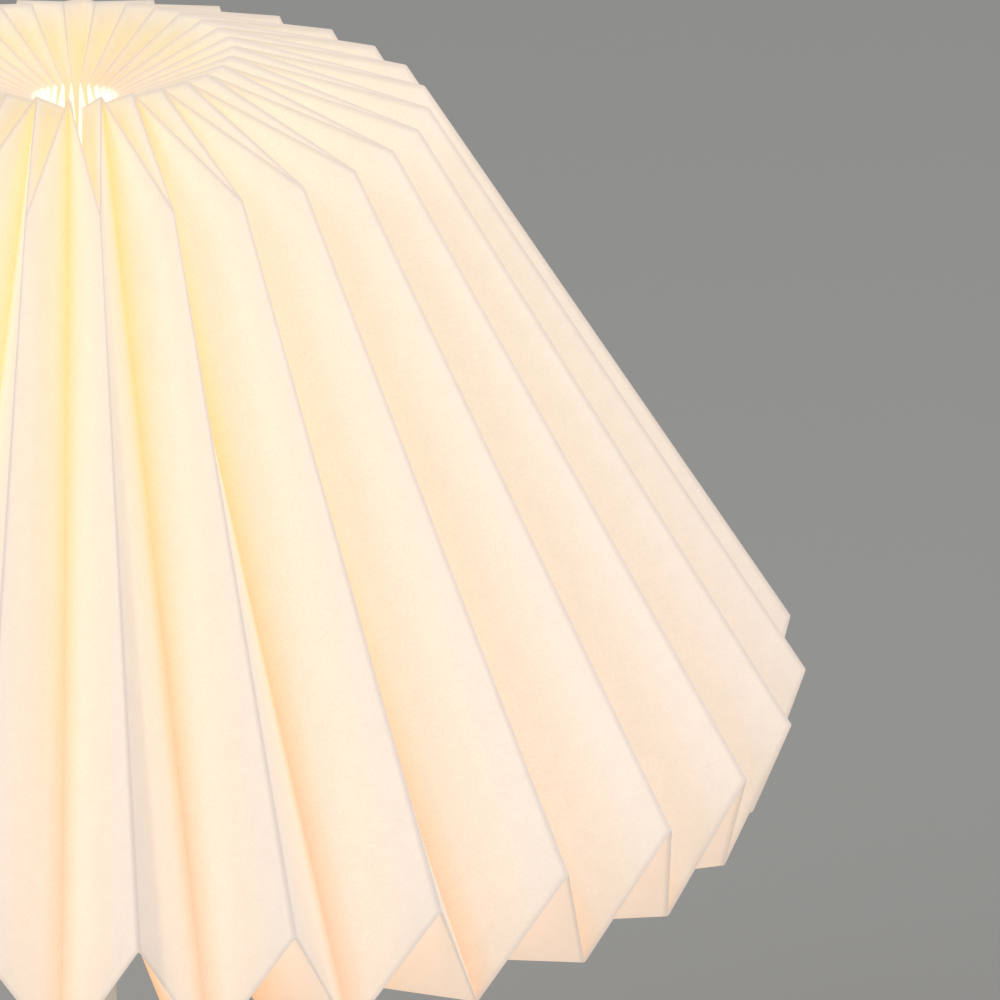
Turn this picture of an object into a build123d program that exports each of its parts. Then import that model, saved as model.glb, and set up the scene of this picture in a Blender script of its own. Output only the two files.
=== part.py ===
from build123d import *
from itertools import pairwise
from math import asin, cos, degrees, radians, sin, sqrt
import os

# Pleated paper table lamp, in millimetres. The origin is the middle of the underside of the foot,
# +Z is up and the front of the lamp looks along -Y. Azimuths are in degrees, counted from the
# front towards +X.

# --- Driving dimensions: shade ------------------------------------------------------------------
pleat_count = 31            # outward folds round the shade
shade_radius = 150.0        # axis to the lower end of an outward fold
shoulder_radius = 71.8      # axis to the upper end of an outward fold
shoulder_height = 388.0     # upper ends of the outward folds above the table
wall_drop = 120.8           # height of an outward fold, upper end to lower end
panel_width = 27.1          # flat width of one panel, fold to fold
top_crease_rise = 31.8      # how far the zigzag crease under the roof climbs from fold to fold
rim_crease_drop = 16.7      # how far the zigzag crease at the rim falls from fold to fold
collar_length = 26.6        # paper left above the upper points of the top crease
paper_thickness = 0.25
glue_line = 0.1             # glue between two layers of paper
flat_within = 0.00005       # corners this close to one plane make one face
glue_lap = 10.0             # how far the left sheet runs behind the right one
lap_start = 0.6             # between the fold and the near edge of that lap
seam_lift = 0.25            # the right sheet's edge stands proud by this share of its thickness
seam_azimuth = 3.7          # the outward fold that carries the front seam
front_sheet_pleats = 15     # pleats from the front seam to the back seam, on the right-hand side

# --- Driving dimensions: what carries the shade --------------------------------------------------
collar_inner_radius = 22.0  # card collar glued under the gathered folds
collar_outer_radius = 34.0
collar_card = 1.2
carrier_radius = 42.0       # wire ring that the shade drops onto
carrier_wire = 3.0
rest_gap = 0.3              # between the shade's folds and the wire ring
arm_count = 3
arm_reach = 32.0            # where the carrier's arms bend upwards
arm_bend = 8.0
weld_gap = 0.05
plate_radius = 20.0
plate_thickness = 1.2
clamp_ring_radius = 18.5
clamp_ring_height = 6.0
clamp_ring_grips = 24
clamp_grip_radius = 0.8

# --- Driving dimensions: bulb --------------------------------------------------------------------
bulb_drop = 70.0            # middle of the globe below the upper ends of the outward folds
globe_radius = 22.5
globe_wall = 1.0
bulb_length = 80.0
bulb_neck_radius = 17.0     # where the globe meets the bulb's body
bulb_foot_radius = 8.0      # where the body meets the screw cap
screw_radius = 7.0
screw_length = 18.0
insulator_height = 2.6
tip_radius = 2.4
tip_height = 1.0
led_board_radius = 14.0
led_board_thickness = 1.6
led_count = 9
led_ring_radius = 10.0
led_size = 2.8
led_height = 0.7

# --- Driving dimensions: lampholder --------------------------------------------------------------
holder_radius = 14.0
holder_wall = 2.0
holder_mouth_gap = 1.2      # between the bulb's foot and the holder's mouth
holder_rim_rise = 1.0       # rim above the top of the bulb's screw cap
holder_shell_height = 31.0
holder_cap_height = 20.0
cap_neck_radius = 8.0
cap_neck_height = 6.0
insert_gap = 0.15           # round the pieces that sit inside the lampholder
core_floor = 3.0
core_foot = 4.5
sleeve_wall = 0.6
sleeve_length = 18.0
running_gap = 0.08          # between the bulb's screw cap and the threaded sleeve
contact_gap = 0.3           # under the bulb's tip
contact_strip = 0.4
contact_width = 4.0
terminal_size = (5.0, 6.0, 8.0)
terminal_offset = 6.5
terminal_screw_radius = 1.5
terminal_screw_head = 2.4
terminal_wire_radius = 1.2
clamp_ring_drop = 2.0       # upper clamp ring below the holder's rim

# --- Driving dimensions: stem and base -----------------------------------------------------------
nipple_radius = 5.0
nipple_bore = 3.6
nipple_grip = 12.0          # length of nipple screwed into the stem or the cap
thread_gap = 0.05
stem_radius = 6.0
seat_radius = 13.0          # saucer between the stem and the lampholder
seat_thickness = 3.0
base_collar_radius = 12.0
base_collar_height = 10.0
base_radius = 80.0
base_height = 28.0          # table to the flat that the stem stands on
base_flat_radius = 22.0
base_edge_height = 18.0     # top of the cover's upright edge
base_edge_round = 6.0
cover_wall = 1.2
pad_thickness = 2.0
pad_inset = 1.5
weight_thickness = 16.0
weight_gap = 1.0            # between the weight and the cover's upright edge
weight_boss_radius = 21.0
nut_pocket_radius = 17.0
boss_floor = 6.8            # of the boss, above the nut's pocket
nut_flats = 17.0
nut_height = 5.0
washer_radius = 14.0
washer_thickness = 2.0
cord_channel_width = 14.0
inlet_bore = 3.5
inlet_wall = 1.5
inlet_flange = 1.8
inlet_flange_thickness = 1.5
inlet_height = 9.5          # middle of the cord inlet above the table

half_pitch = 180 / pleat_count
globe_height = shoulder_height - bulb_drop


# --- Folded paper --------------------------------------------------------------------------------
# The shade is one straight-pleated strip, cut as two sheets. Outward folds (ridges) and inward
# folds (valleys) are parallel on the flat paper, panel_width apart. At the shoulder and at the rim
# a zigzag crease turns every ridge inside out, which closes the roof and tucks the rim under.
# A point of a radial section is a Vector of (radius, height).

def on_axis_plane(azimuth, point):
    """The place in space of a point of a radial section."""
    turn = radians(azimuth)
    return Vector(point.X * sin(turn), -point.X * cos(turn), point.Y)


def folded_on(direction, crease):
    """Where a fold line runs on beyond a crease: both make the same angle with that crease."""
    crease = crease.normalized()
    return crease * (2 * direction.dot(crease)) - direction


def pleat_depth(radius):
    """How far a panel reaches inwards from a ridge at this radius."""
    return sqrt(panel_width**2 - (radius * sin(radians(half_pitch))) ** 2)


def fold_sections():
    """Corner points of a ridge and of a valley, from the top edge of the paper to its lower edge."""
    shoulder = Vector(shoulder_radius, shoulder_height)
    rim = Vector(shade_radius, shoulder_height - wall_drop)

    def beside(point):
        return Vector(point.X * cos(radians(half_pitch)), point.Y)

    ridge_down = (rim - shoulder).normalized()
    ridge_run = beside(rim) - beside(shoulder)
    closing = asin((pleat_depth(shoulder_radius) - pleat_depth(shade_radius)) / ridge_run.length)
    valley_down = ridge_run.normalized().rotate(Axis.Z, degrees(closing))
    inwards = Vector(valley_down.Y, -valley_down.X)

    peak = beside(shoulder) + inwards * pleat_depth(shoulder_radius) - valley_down * top_crease_rise
    tooth = beside(rim) + inwards * pleat_depth(shade_radius) + valley_down * rim_crease_drop
    mountain = folded_on(valley_down * -1, beside(shoulder) - peak)
    trough = folded_on(ridge_down * -1, beside(peak) - shoulder)
    tuck = folded_on(ridge_down, beside(tooth) - rim)

    ridge = [
        shoulder + trough * (collar_length + top_crease_rise),
        shoulder,
        rim,
        rim + tuck * rim_crease_drop,
    ]
    valley = [peak + mountain * collar_length, peak, tooth, tooth]
    return ridge, valley


def thickness_step(azimuth, *conditions):
    """The move in a radial plane that makes these distances along these directions."""
    outwards = on_axis_plane(azimuth, Vector(1, 0))
    (first, first_length), (second, second_length) = conditions
    a, b = first.dot(outwards), first.Z
    c, d = second.dot(outwards), second.Z
    span = a * d - b * c
    radius_move = (first_length * d - b * second_length) / span
    return Vector(radius_move, (a * second_length - first_length * c) / span)


def thickness_steps(ridge, valley):
    """For each corner, the move from the outer face of the paper to its inner face."""
    r = [on_axis_plane(0, point) for point in ridge]
    v = [on_axis_plane(half_pitch, point) for point in valley]

    def face(down, across):
        return across.cross(down).normalized(), paper_thickness

    def square_to(line):
        return line.normalized(), 0

    roof_down, wall_down, tuck_down = r[1] - r[0], r[2] - r[1], r[3] - r[2]
    tuck = face(tuck_down, v[2] - r[2])
    ridge_steps = [
        thickness_step(0, face(roof_down, v[0] - r[0]), square_to(roof_down)),
        thickness_step(0, face(roof_down, v[1] - r[1]), face(wall_down, v[1] - r[1])),
        thickness_step(0, face(wall_down, v[2] - r[2]), tuck),
        thickness_step(0, tuck, square_to(tuck_down)),
    ]
    roof_side, wall_side = v[1] - v[0], v[2] - v[1]
    tooth_step = thickness_step(half_pitch, face(wall_side, v[2] - r[2]), tuck)
    valley_steps = [
        thickness_step(half_pitch, face(roof_side, v[0] - r[0]), square_to(roof_side)),
        thickness_step(half_pitch, face(roof_side, v[1] - r[1]), face(wall_side, v[1] - r[1])),
        tooth_step,
        tooth_step,
    ]
    return ridge_steps, valley_steps


sections = fold_sections()
steps = thickness_steps(*sections)
# At the hole the gathered fold is pressed shut: the true fold is its underside.
sections[0][0] -= steps[0][0]


def fold_column(index, layer):
    """Corners along one fold, counted from the front seam. Layer 0 is the outer face, 1 the inner."""
    kind = index % 2
    azimuth = seam_azimuth + index * half_pitch
    return [
        on_axis_plane(azimuth, point + step * layer)
        for point, step in zip(sections[kind], steps[kind])
    ]


def between(first, second, share):
    return [a + (b - a) * share for a, b in zip(first, second)]


def patch(*corners):
    """A flat face where the corners allow it, and otherwise one ruled between two opposite folds."""
    ring = [a for a, b in zip(corners, corners[1:] + corners[:1]) if (a - b).length > flat_within]
    if len(ring) == 3:
        return Face(Wire.make_polygon(ring))
    a, b, c, d = ring
    normal = (b - a).cross(d - a).normalized()
    if abs((c - a).dot(normal)) < flat_within:
        return Face(Wire.make_polygon(ring))
    return Face.make_surface_from_curves(Edge.make_line(a, b), Edge.make_line(d, c))


def folded_sheet(columns, first_row=0):
    """Paper from its fold columns, each a pair of outer and inner corners, from this row down."""
    rows = range(first_row, 3)
    faces = []
    for (outer, inner), (next_outer, next_inner) in pairwise(columns):
        for side, next_side in ((outer, next_outer), (inner, next_inner)):
            for row in rows:
                faces.append(patch(side[row], side[row + 1], next_side[row + 1], next_side[row]))
        for row in (first_row, 3):
            faces.append(patch(outer[row], inner[row], next_inner[row], next_outer[row]))
    for outer, inner in (columns[0], columns[-1]):
        for row in rows:
            faces.append(patch(outer[row], inner[row], inner[row + 1], outer[row + 1]))
    return Solid(Shell(faces))


def shade_sheets():
    """The right and the left sheet, and the left one's two laps behind the right one's ends."""
    back_seam = 2 * front_sheet_pleats
    front_seam = 2 * pleat_count

    def column(index, lift=0):
        return fold_column(index, -lift), fold_column(index, 1 - lift)

    def lap(seam, towards):
        behind = 1 + glue_line / paper_thickness
        layers = behind, behind + 1
        return folded_sheet(
            [
                tuple(
                    between(fold_column(seam, layer), fold_column(towards, layer), width / panel_width)
                    for layer in layers
                )
                for width in (lap_start, glue_lap)
            ],
            first_row=1,
        )

    right = [column(0, seam_lift)]
    right += [column(index) for index in range(1, back_seam)]
    right += [column(back_seam, seam_lift)]
    left = [column(index) for index in range(back_seam, front_seam + 1)]
    laps = lap(back_seam, back_seam - 1), lap(0, 1)
    return folded_sheet(right), Compound(children=[folded_sheet(left), *laps])


# --- Plain shapes --------------------------------------------------------------------------------

def lathe(*outline):
    """Turn a closed outline of (radius, height) or (radius, height, rounding) corners."""
    corners = [corner[:2] for corner in outline]
    rounds = [corner[2] if len(corner) > 2 else 0 for corner in outline]
    profile = make_face(FilletPolyline(*corners, radius=rounds, close=True))
    return revolve(Plane.XZ * profile, Axis.Z)


def tube(outer_radius, inner_radius, bottom, top):
    outline = (inner_radius, bottom), (outer_radius, bottom), (outer_radius, top), (inner_radius, top)
    return lathe(*outline)


standing = Align.CENTER, Align.CENTER, Align.MIN


def upright(radius, bottom, top):
    """A solid cylinder on the axis."""
    return Pos(0, 0, bottom) * Cylinder(radius, top - bottom, align=standing)


def round_about(shape, count, start=0):
    return [Rot(0, 0, start + 360 / count * index) * shape for index in range(count)]


# --- What carries the shade ----------------------------------------------------------------------

def trough_line():
    """Two points on the underside of a gathered fold, inner end first."""
    ridge, ridge_steps = sections[0], steps[0]
    return ridge[0] + ridge_steps[0], ridge[1] + ridge_steps[1]


def below_trough(radius, distance):
    """Height at this radius of a line parallel to the gathered folds, this far under them."""
    inner, outer = trough_line()
    run = outer - inner
    return inner.Y + (radius - inner.X) * run.Y / run.X - distance * run.length / run.X


def pleat_collar():
    """Card collar, glued under the gathered folds, that keeps them evenly spaced."""
    edges = collar_inner_radius, collar_outer_radius
    upper = [(radius, below_trough(radius, glue_line)) for radius in edges]
    lower = [(radius, below_trough(radius, glue_line + collar_card)) for radius in reversed(edges)]
    return lathe(*upper, *lower)


carrier_height = below_trough(carrier_radius, rest_gap + carrier_wire / 2)


def carrier_ring():
    return Pos(0, 0, carrier_height) * Torus(carrier_radius, carrier_wire / 2)


def carrier_arms():
    """Bent wires from the clamped plate up to the ring, butt-welded at both ends."""
    foot = Vector(plate_radius + weld_gap, 0, plate_height + plate_thickness / 2)
    knee = Vector(arm_reach, 0, foot.Z)
    ring_centre = Vector(carrier_radius, 0, carrier_height)
    rise = (ring_centre - knee).normalized()
    head = ring_centre - rise * (carrier_wire / 2 + weld_gap)
    route = FilletPolyline(foot, knee, head, radius=arm_bend)
    arm = sweep(Plane(foot, z_dir=(1, 0, 0)) * Circle(carrier_wire / 2), path=route)
    return Compound(children=round_about(arm, arm_count, start=90))


# --- Heights up the lamp ---------------------------------------------------------------------------
bulb_foot = globe_height + globe_radius - bulb_length
screw_bottom = bulb_foot + tip_height + insulator_height
screw_top = screw_bottom + screw_length
holder_rim = screw_top + holder_rim_rise
holder_joint = holder_rim - holder_shell_height
holder_bottom = holder_joint - holder_cap_height
clamp_top = holder_rim - clamp_ring_drop
plate_height = clamp_top - clamp_ring_height - plate_thickness
seat_bottom = holder_bottom - seat_thickness


# --- Lampholder ------------------------------------------------------------------------------------

def carrier_plate():
    return tube(plate_radius, holder_radius + insert_gap, plate_height, plate_height + plate_thickness)


def clamp_ring(bottom):
    """Threaded ring with finger grips round its edge."""
    ring = tube(clamp_ring_radius, holder_radius + thread_gap, bottom, bottom + clamp_ring_height)
    grip = Pos(clamp_ring_radius, 0, bottom) * Cylinder(clamp_grip_radius, 3 * clamp_ring_height)
    return ring - round_about(grip, clamp_ring_grips)


def holder_shell():
    mouth = bulb_foot_radius + holder_mouth_gap
    inner = holder_radius - holder_wall
    return lathe(
        (inner, holder_joint),
        (holder_radius, holder_joint),
        (holder_radius, holder_rim, holder_wall / 2),
        (mouth, holder_rim),
        (mouth, holder_rim - holder_wall),
        (inner, holder_rim - holder_wall),
    )


def holder_cap():
    """Bell-shaped cover over the terminals, screwed onto the nipple that comes out of the stem."""
    bore = nipple_radius + thread_gap
    neck_top = holder_bottom + cap_neck_height
    flare_top = neck_top + holder_radius - cap_neck_radius
    inner_flare = flare_top + holder_wall / 2
    bell_round = (holder_radius - cap_neck_radius) / 2
    return lathe(
        (bore, holder_bottom),
        (cap_neck_radius, holder_bottom, holder_wall / 2),
        (cap_neck_radius, neck_top, bell_round / 2),
        (holder_radius, flare_top, bell_round),
        (holder_radius, holder_joint),
        (holder_radius - holder_wall, holder_joint),
        (holder_radius - holder_wall, inner_flare, bell_round / 2),
        (bore, neck_top + holder_wall),
    )


core_radius = holder_radius - holder_wall - insert_gap
sleeve_inner = screw_radius + running_gap
sleeve_outer = sleeve_inner + sleeve_wall
contact_top = bulb_foot - contact_gap
core_floor_top = contact_top - core_floor
core_bottom = core_floor_top - core_foot
core_top = holder_rim - holder_wall - insert_gap
sleeve_seat = screw_bottom - insert_gap


def holder_core():
    """Moulded insert that holds the threaded sleeve, the contacts and the terminals."""
    socket = sleeve_outer + insert_gap
    turret = (socket + core_radius) / 2
    return lathe(
        (0, core_bottom),
        (core_radius, core_bottom),
        (core_radius, sleeve_seat),
        (turret, sleeve_seat + turret - socket),
        (turret, core_top),
        (socket, core_top),
        (socket, sleeve_seat),
        (screw_radius, sleeve_seat),
        (screw_radius, core_floor_top),
        (0, core_floor_top),
    )


def screw_sleeve():
    return tube(sleeve_outer, sleeve_inner, sleeve_seat, sleeve_seat + sleeve_length)


def centre_contact():
    """Bent spring strip under the bulb's tip, standing on the insert's floor."""
    rise = contact_top - core_floor_top - contact_strip
    tail = -screw_radius + contact_strip
    middle = tail / 2
    strip = Polyline(
        (tail, core_floor_top),
        (middle, core_floor_top),
        (middle + rise, core_floor_top + rise),
        (tip_radius, core_floor_top + rise),
        (tip_radius, contact_top),
        (middle + rise - contact_strip / 2, contact_top),
        (middle - contact_strip / 2, core_floor_top + contact_strip),
        (tail, core_floor_top + contact_strip),
        close=True,
    )
    return extrude(Plane.XZ * make_face(strip), contact_width / 2, both=True)


def terminal_places():
    """Places of the two terminals under the insert's foot."""
    return [Pos(side * terminal_offset, 0, core_bottom) for side in (-1, 1)]


def terminal_blocks():
    width, depth, height = terminal_size
    block = Box(width, depth, height, align=(Align.CENTER, Align.CENTER, Align.MAX))
    screw_bore = Cylinder(terminal_screw_radius + thread_gap, depth)
    screw_hole = Pos(0, 0, -height / 3) * Rot(90, 0, 0) * screw_bore
    wire_hole = Pos(0, 0, -height) * Cylinder(terminal_wire_radius, height)
    block -= [screw_hole, wire_hole]
    return Compound(children=[place * block for place in terminal_places()])


def terminal_screws():
    """Slotted screws that enter the terminals from the front."""
    _, depth, height = terminal_size
    head_length = terminal_screw_radius
    shank = Pos(0, 0, head_length) * Cylinder(terminal_screw_radius, depth / 2, align=standing)
    head = Cylinder(terminal_screw_head, head_length, align=standing)
    slot = Box(2 * terminal_screw_head, terminal_screw_radius / 2, head_length)
    screw = shank + head - slot
    front = -depth / 2 - head_length - thread_gap
    lying = Pos(0, front, -height / 3) * Rot(-90, 0, 0) * screw
    return Compound(children=[place * lying for place in terminal_places()])


# --- Bulb --------------------------------------------------------------------------------------------
globe_cut = globe_height - sqrt(globe_radius**2 - bulb_neck_radius**2)


def bulb_globe():
    """Opal globe, open where it sits on the bulb's body."""
    ball = Sphere(globe_radius) - Sphere(globe_radius - globe_wall)
    return Pos(0, 0, globe_height) * ball - upright(globe_radius, globe_height - 2 * globe_radius, globe_cut)


def bulb_body():
    waist = (bulb_foot_radius + bulb_neck_radius) / 2
    body_height = globe_cut - screw_top
    return lathe(
        (0, screw_top),
        (bulb_foot_radius, screw_top),
        (bulb_foot_radius, screw_top + body_height / 6, bulb_foot_radius / 4),
        (waist, screw_top + body_height / 2, bulb_foot_radius),
        (bulb_neck_radius, globe_cut),
        (0, globe_cut),
    )


def bulb_screw_cap():
    """Metal cap, closed over the body's foot by a rolled shoulder."""
    foot = tip_radius + insulator_height
    return lathe(
        (0, screw_bottom),
        (foot, screw_bottom),
        (screw_radius, screw_bottom + screw_radius - foot),
        (screw_radius, screw_top),
        (0, screw_top),
    )


def bulb_insulator():
    return lathe(
        (0, bulb_foot + tip_height),
        (tip_radius, bulb_foot + tip_height),
        (tip_radius + insulator_height, screw_bottom),
        (0, screw_bottom),
    )


def bulb_tip():
    top = bulb_foot + tip_height
    return lathe((0, bulb_foot), (tip_radius, bulb_foot, tip_height / 2), (tip_radius, top), (0, top))


def led_board():
    """Board that closes the body inside the globe, with a ring of light-emitting chips."""
    board = upright(led_board_radius, globe_cut, globe_cut + led_board_thickness)
    seat = Pos(led_ring_radius, 0, globe_cut + led_board_thickness)
    chip = seat * Box(led_size, led_size, led_height, align=standing)
    return board + round_about(chip, led_count)


# --- Stem and base -----------------------------------------------------------------------------------
stem_bore = nipple_radius + thread_gap
weight_bottom = pad_thickness
pocket_top = base_height - cover_wall - boss_floor
nut_bottom = pocket_top - washer_thickness - nut_height


def holder_seat():
    """Turned saucer that finishes the top of the stem under the lampholder."""
    return lathe(
        (stem_bore, seat_bottom),
        (stem_radius + thread_gap, seat_bottom),
        (seat_radius, holder_bottom - seat_thickness / 3, seat_thickness / 4),
        (seat_radius, holder_bottom),
        (stem_bore, holder_bottom),
    )


def nipple(bottom, top):
    return tube(nipple_radius, nipple_bore, bottom, top)


def stem_tube():
    return tube(stem_radius, stem_bore, base_height, seat_bottom)


def base_collar():
    """Turned ring that hides the joint between the stem and the base."""
    return lathe(
        (stem_radius + thread_gap, base_height),
        (base_collar_radius, base_height),
        (base_collar_radius, base_height + base_collar_height / 3, base_collar_height / 6),
        (stem_radius + cover_wall, base_height + base_collar_height, cover_wall / 2),
        (stem_radius + thread_gap, base_height + base_collar_height),
    )


def base_cover():
    """Spun steel cover: flat in the middle, a shallow cone, a rounded shoulder and an upright edge."""
    inner = base_radius - cover_wall
    edge_top = base_edge_height + base_edge_round
    cover = lathe(
        (stem_bore, base_height),
        (base_flat_radius, base_height),
        (base_radius, edge_top, base_edge_round),
        (base_radius, pad_thickness),
        (inner, pad_thickness),
        (inner, edge_top - cover_wall, base_edge_round - cover_wall),
        (base_flat_radius, base_height - cover_wall),
        (stem_bore, base_height - cover_wall),
    )
    return cover - inlet_hole(inlet_bore + inlet_wall + insert_gap)


def inlet_hole(radius):
    """Cutter along the cord's way in at the back of the base."""
    return Pos(0, base_radius, inlet_height) * Rot(90, 0, 0) * Cylinder(radius, 4 * (weight_gap + cover_wall))


def base_weight():
    """Cast disc with a boss for the stem, a pocket for the nut and a channel for the cord."""
    outer = base_radius - cover_wall - weight_gap
    top = weight_bottom + weight_thickness
    casting = lathe(
        (0, weight_bottom),
        (outer, weight_bottom, weight_gap),
        (outer, top, 2 * weight_gap),
        (weight_boss_radius, top),
        (weight_boss_radius, base_height - cover_wall),
        (0, base_height - cover_wall),
    )
    casting -= upright(stem_bore, 0, base_height)
    casting -= upright(nut_pocket_radius, 0, pocket_top)
    channel_top = inlet_height + cord_channel_width / 2 - cover_wall
    channel = Pos(0, base_radius / 2, channel_top / 2) * Box(cord_channel_width, base_radius, channel_top)
    return casting - channel


def base_washer():
    return tube(washer_radius, stem_bore + thread_gap, pocket_top - washer_thickness, pocket_top)


def base_nut():
    hexagon = RegularPolygon(nut_flats / 2, 6, major_radius=False)
    blank = extrude(Pos(0, 0, nut_bottom) * hexagon, nut_height)
    return blank - upright(stem_bore, 0, base_height)


def base_pad():
    return upright(base_radius - pad_inset, 0, pad_thickness)


def cord_inlet():
    """Moulded bushing in the back of the cover. The cord's way in is its bore."""
    body = inlet_bore + inlet_wall
    flange = body + inlet_flange
    length = cover_wall + weight_gap / 2
    lip = inlet_flange_thickness + weld_gap
    bushing = lathe(
        (inlet_bore, -length),
        (body, -length),
        (body, weld_gap),
        (flange, weld_gap),
        (flange, lip, inlet_flange_thickness / 2),
        (inlet_bore, lip),
    )
    return Pos(0, base_radius, inlet_height) * Rot(-90, 0, 0) * bushing


# --- The pieces ----------------------------------------------------------------------------------------
shade_sheet_right, shade_sheet_left = shade_sheets()
nodes = {
    "shade_sheet_right": shade_sheet_right,
    "shade_sheet_left": shade_sheet_left,
    "pleat_collar": pleat_collar(),
    "carrier_ring": carrier_ring(),
    "carrier_arms": carrier_arms(),
    "carrier_plate": carrier_plate(),
    "clamp_ring_upper": clamp_ring(clamp_top - clamp_ring_height),
    "clamp_ring_lower": clamp_ring(plate_height - clamp_ring_height),
    "holder_shell": holder_shell(),
    "holder_cap": holder_cap(),
    "holder_core": holder_core(),
    "screw_sleeve": screw_sleeve(),
    "centre_contact": centre_contact(),
    "terminal_blocks": terminal_blocks(),
    "terminal_screws": terminal_screws(),
    "bulb_globe": bulb_globe(),
    "bulb_body": bulb_body(),
    "bulb_screw_cap": bulb_screw_cap(),
    "bulb_insulator": bulb_insulator(),
    "bulb_tip": bulb_tip(),
    "led_board": led_board(),
    "holder_seat": holder_seat(),
    "holder_nipple": nipple(seat_bottom - nipple_grip, holder_bottom + cap_neck_height),
    "stem_tube": stem_tube(),
    "base_nipple": nipple(nut_bottom - cover_wall, base_height + nipple_grip),
    "base_collar": base_collar(),
    "base_cover": base_cover(),
    "base_weight": base_weight(),
    "base_washer": base_washer(),
    "base_nut": base_nut(),
    "base_pad": base_pad(),
    "cord_inlet": cord_inlet(),
}

os.makedirs("parts", exist_ok=True)
for name, shape in nodes.items():
    export_step(shape, f"parts/{name}.step")
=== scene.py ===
# %% [markdown]
# # A pleated paper table lamp
# The lamp is a wide shade of folded paper over a small bulb, on a slim stem and a round base. The
# CAD model already has every metal and plastic piece in its true place. Blender's part is the look:
# paper that glows from inside, soft folds, thin dark lines where the paper bends, and honest
# finishes on everything under the shade.

from itertools import pairwise
from math import asin, cos, hypot, pi, radians, sin, sqrt

import bmesh
import bpy
from mathutils import Matrix, Vector


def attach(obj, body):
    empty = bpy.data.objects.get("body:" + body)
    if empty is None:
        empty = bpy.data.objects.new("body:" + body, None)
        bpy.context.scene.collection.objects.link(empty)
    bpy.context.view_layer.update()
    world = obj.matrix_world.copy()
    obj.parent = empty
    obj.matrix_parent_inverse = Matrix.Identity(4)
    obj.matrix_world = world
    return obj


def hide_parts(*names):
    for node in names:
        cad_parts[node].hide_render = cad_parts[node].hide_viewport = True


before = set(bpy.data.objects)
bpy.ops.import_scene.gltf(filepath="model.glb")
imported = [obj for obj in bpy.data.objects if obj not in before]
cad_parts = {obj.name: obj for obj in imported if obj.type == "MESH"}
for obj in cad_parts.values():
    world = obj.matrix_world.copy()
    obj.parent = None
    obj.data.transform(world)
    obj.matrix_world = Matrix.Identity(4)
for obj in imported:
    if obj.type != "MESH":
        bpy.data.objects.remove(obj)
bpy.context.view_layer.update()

# %% [markdown]
# ## Small helpers for objects and node trees
# Materials and Geometry Nodes are both trees of nodes. A few short helpers keep the lessons
# readable: `add` makes one node and fills its sockets with numbers or with other nodes' outputs,
# `math` and `vector_math` do the same for arithmetic, and `mix` blends two values.

# %% Helpers for objects and node trees
def new_object(name, data):
    """Puts data into the scene as an object with this name."""
    made = bpy.data.objects.new(name, data)
    bpy.context.scene.collection.objects.link(made)
    return made


def fill(tree, socket, value):
    """Gives a socket a plain value, or links another node's output to it."""
    if isinstance(value, bpy.types.NodeSocket):
        tree.links.new(value, socket)
    else:
        socket.default_value = value


def add(tree, kind, sockets=None, **settings):
    """Makes one node. Sockets are filled by name or by number, settings are its menus' choices."""
    node = tree.nodes.new(kind)
    for name, value in settings.items():
        setattr(node, name, value)
    for name, value in (sockets or {}).items():
        fill(tree, node.inputs[name], value)
    return node


def math(tree, operation, *values):
    """Arithmetic on numbers and outputs: gives the output that carries the result."""
    return add(tree, "ShaderNodeMath", dict(enumerate(values)), operation=operation).outputs[0]


def vector_math(tree, operation, *values):
    """The same for vectors."""
    made = add(tree, "ShaderNodeVectorMath", dict(enumerate(values)), operation=operation)
    return made.outputs[0]


def clamped(tree, value, low, high):
    """The value, kept between two others."""
    return math(tree, "MINIMUM", math(tree, "MAXIMUM", value, low), high)


MIX_SOCKETS = {"FLOAT": (2, 0), "VECTOR": (4, 1), "RGBA": (6, 2)}  # first of two inputs, output


def mix(tree, kind, factor, a, b):
    """Blends two numbers, vectors or colours."""
    first, result = MIX_SOCKETS[kind]
    made = add(tree, "ShaderNodeMix", {0: factor, first: a, first + 1: b}, data_type=kind)
    return made.outputs[result]


# %% [markdown]
# ## The rule of the folded shade
# The paper is pleated straight: ridges and valleys are parallel lines on the flat sheet, one
# panel apart. Two zigzag creases, at the shoulder and at the rim, turn each ridge inside out,
# which closes the roof and tucks the rim under. So the whole shade follows from one section
# through a ridge and one through a valley. Both are lists of (radius, height) in metres.

# %% Sizes of the shade, in metres
PLEATS = 31
SHADE_RADIUS = 0.150  # axis to the lower end of a ridge
SHOULDER_RADIUS = 0.0718  # axis to the upper end of a ridge
SHOULDER_HEIGHT = 0.388
WALL_DROP = 0.1208  # height of a ridge
PANEL_WIDTH = 0.0271  # flat, from fold to fold
TOP_CREASE_RISE = 0.0318  # of the shoulder's zigzag crease, from fold to fold
RIM_CREASE_DROP = 0.0167  # of the rim's zigzag crease, from fold to fold
TUCK_MARGIN = 0.051  # paper beyond the tips of the teeth
COLLAR_LENGTH = 0.0266  # paper above the upper points of the shoulder's crease
PAPER = 0.00025  # thickness
GLUE_LINE = 0.0001
GLUE_LAP = 0.010  # how far the left sheet runs behind the right one
LAP_START = 0.0006  # between the fold and the near edge of that lap
SEAM_LIFT = 0.25  # the right sheet's edge stands proud by this share of its thickness
SEAM_AZIMUTH = radians(3.7)  # of the front seam, from the front
FRONT_SHEET_PLEATS = 15  # from the front seam to the back seam, on the right-hand side
HALF_PITCH = pi / PLEATS  # angle from a ridge to a valley


# %% Sections through a ridge and a valley
def beside(point):
    """A point as the plane of the next fold sees it."""
    return Vector((point.x * cos(HALF_PITCH), point.y))


def pleat_depth(radius):
    """How far a panel reaches inwards from a ridge at this radius."""
    return sqrt(PANEL_WIDTH**2 - (radius * sin(HALF_PITCH)) ** 2)


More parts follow.
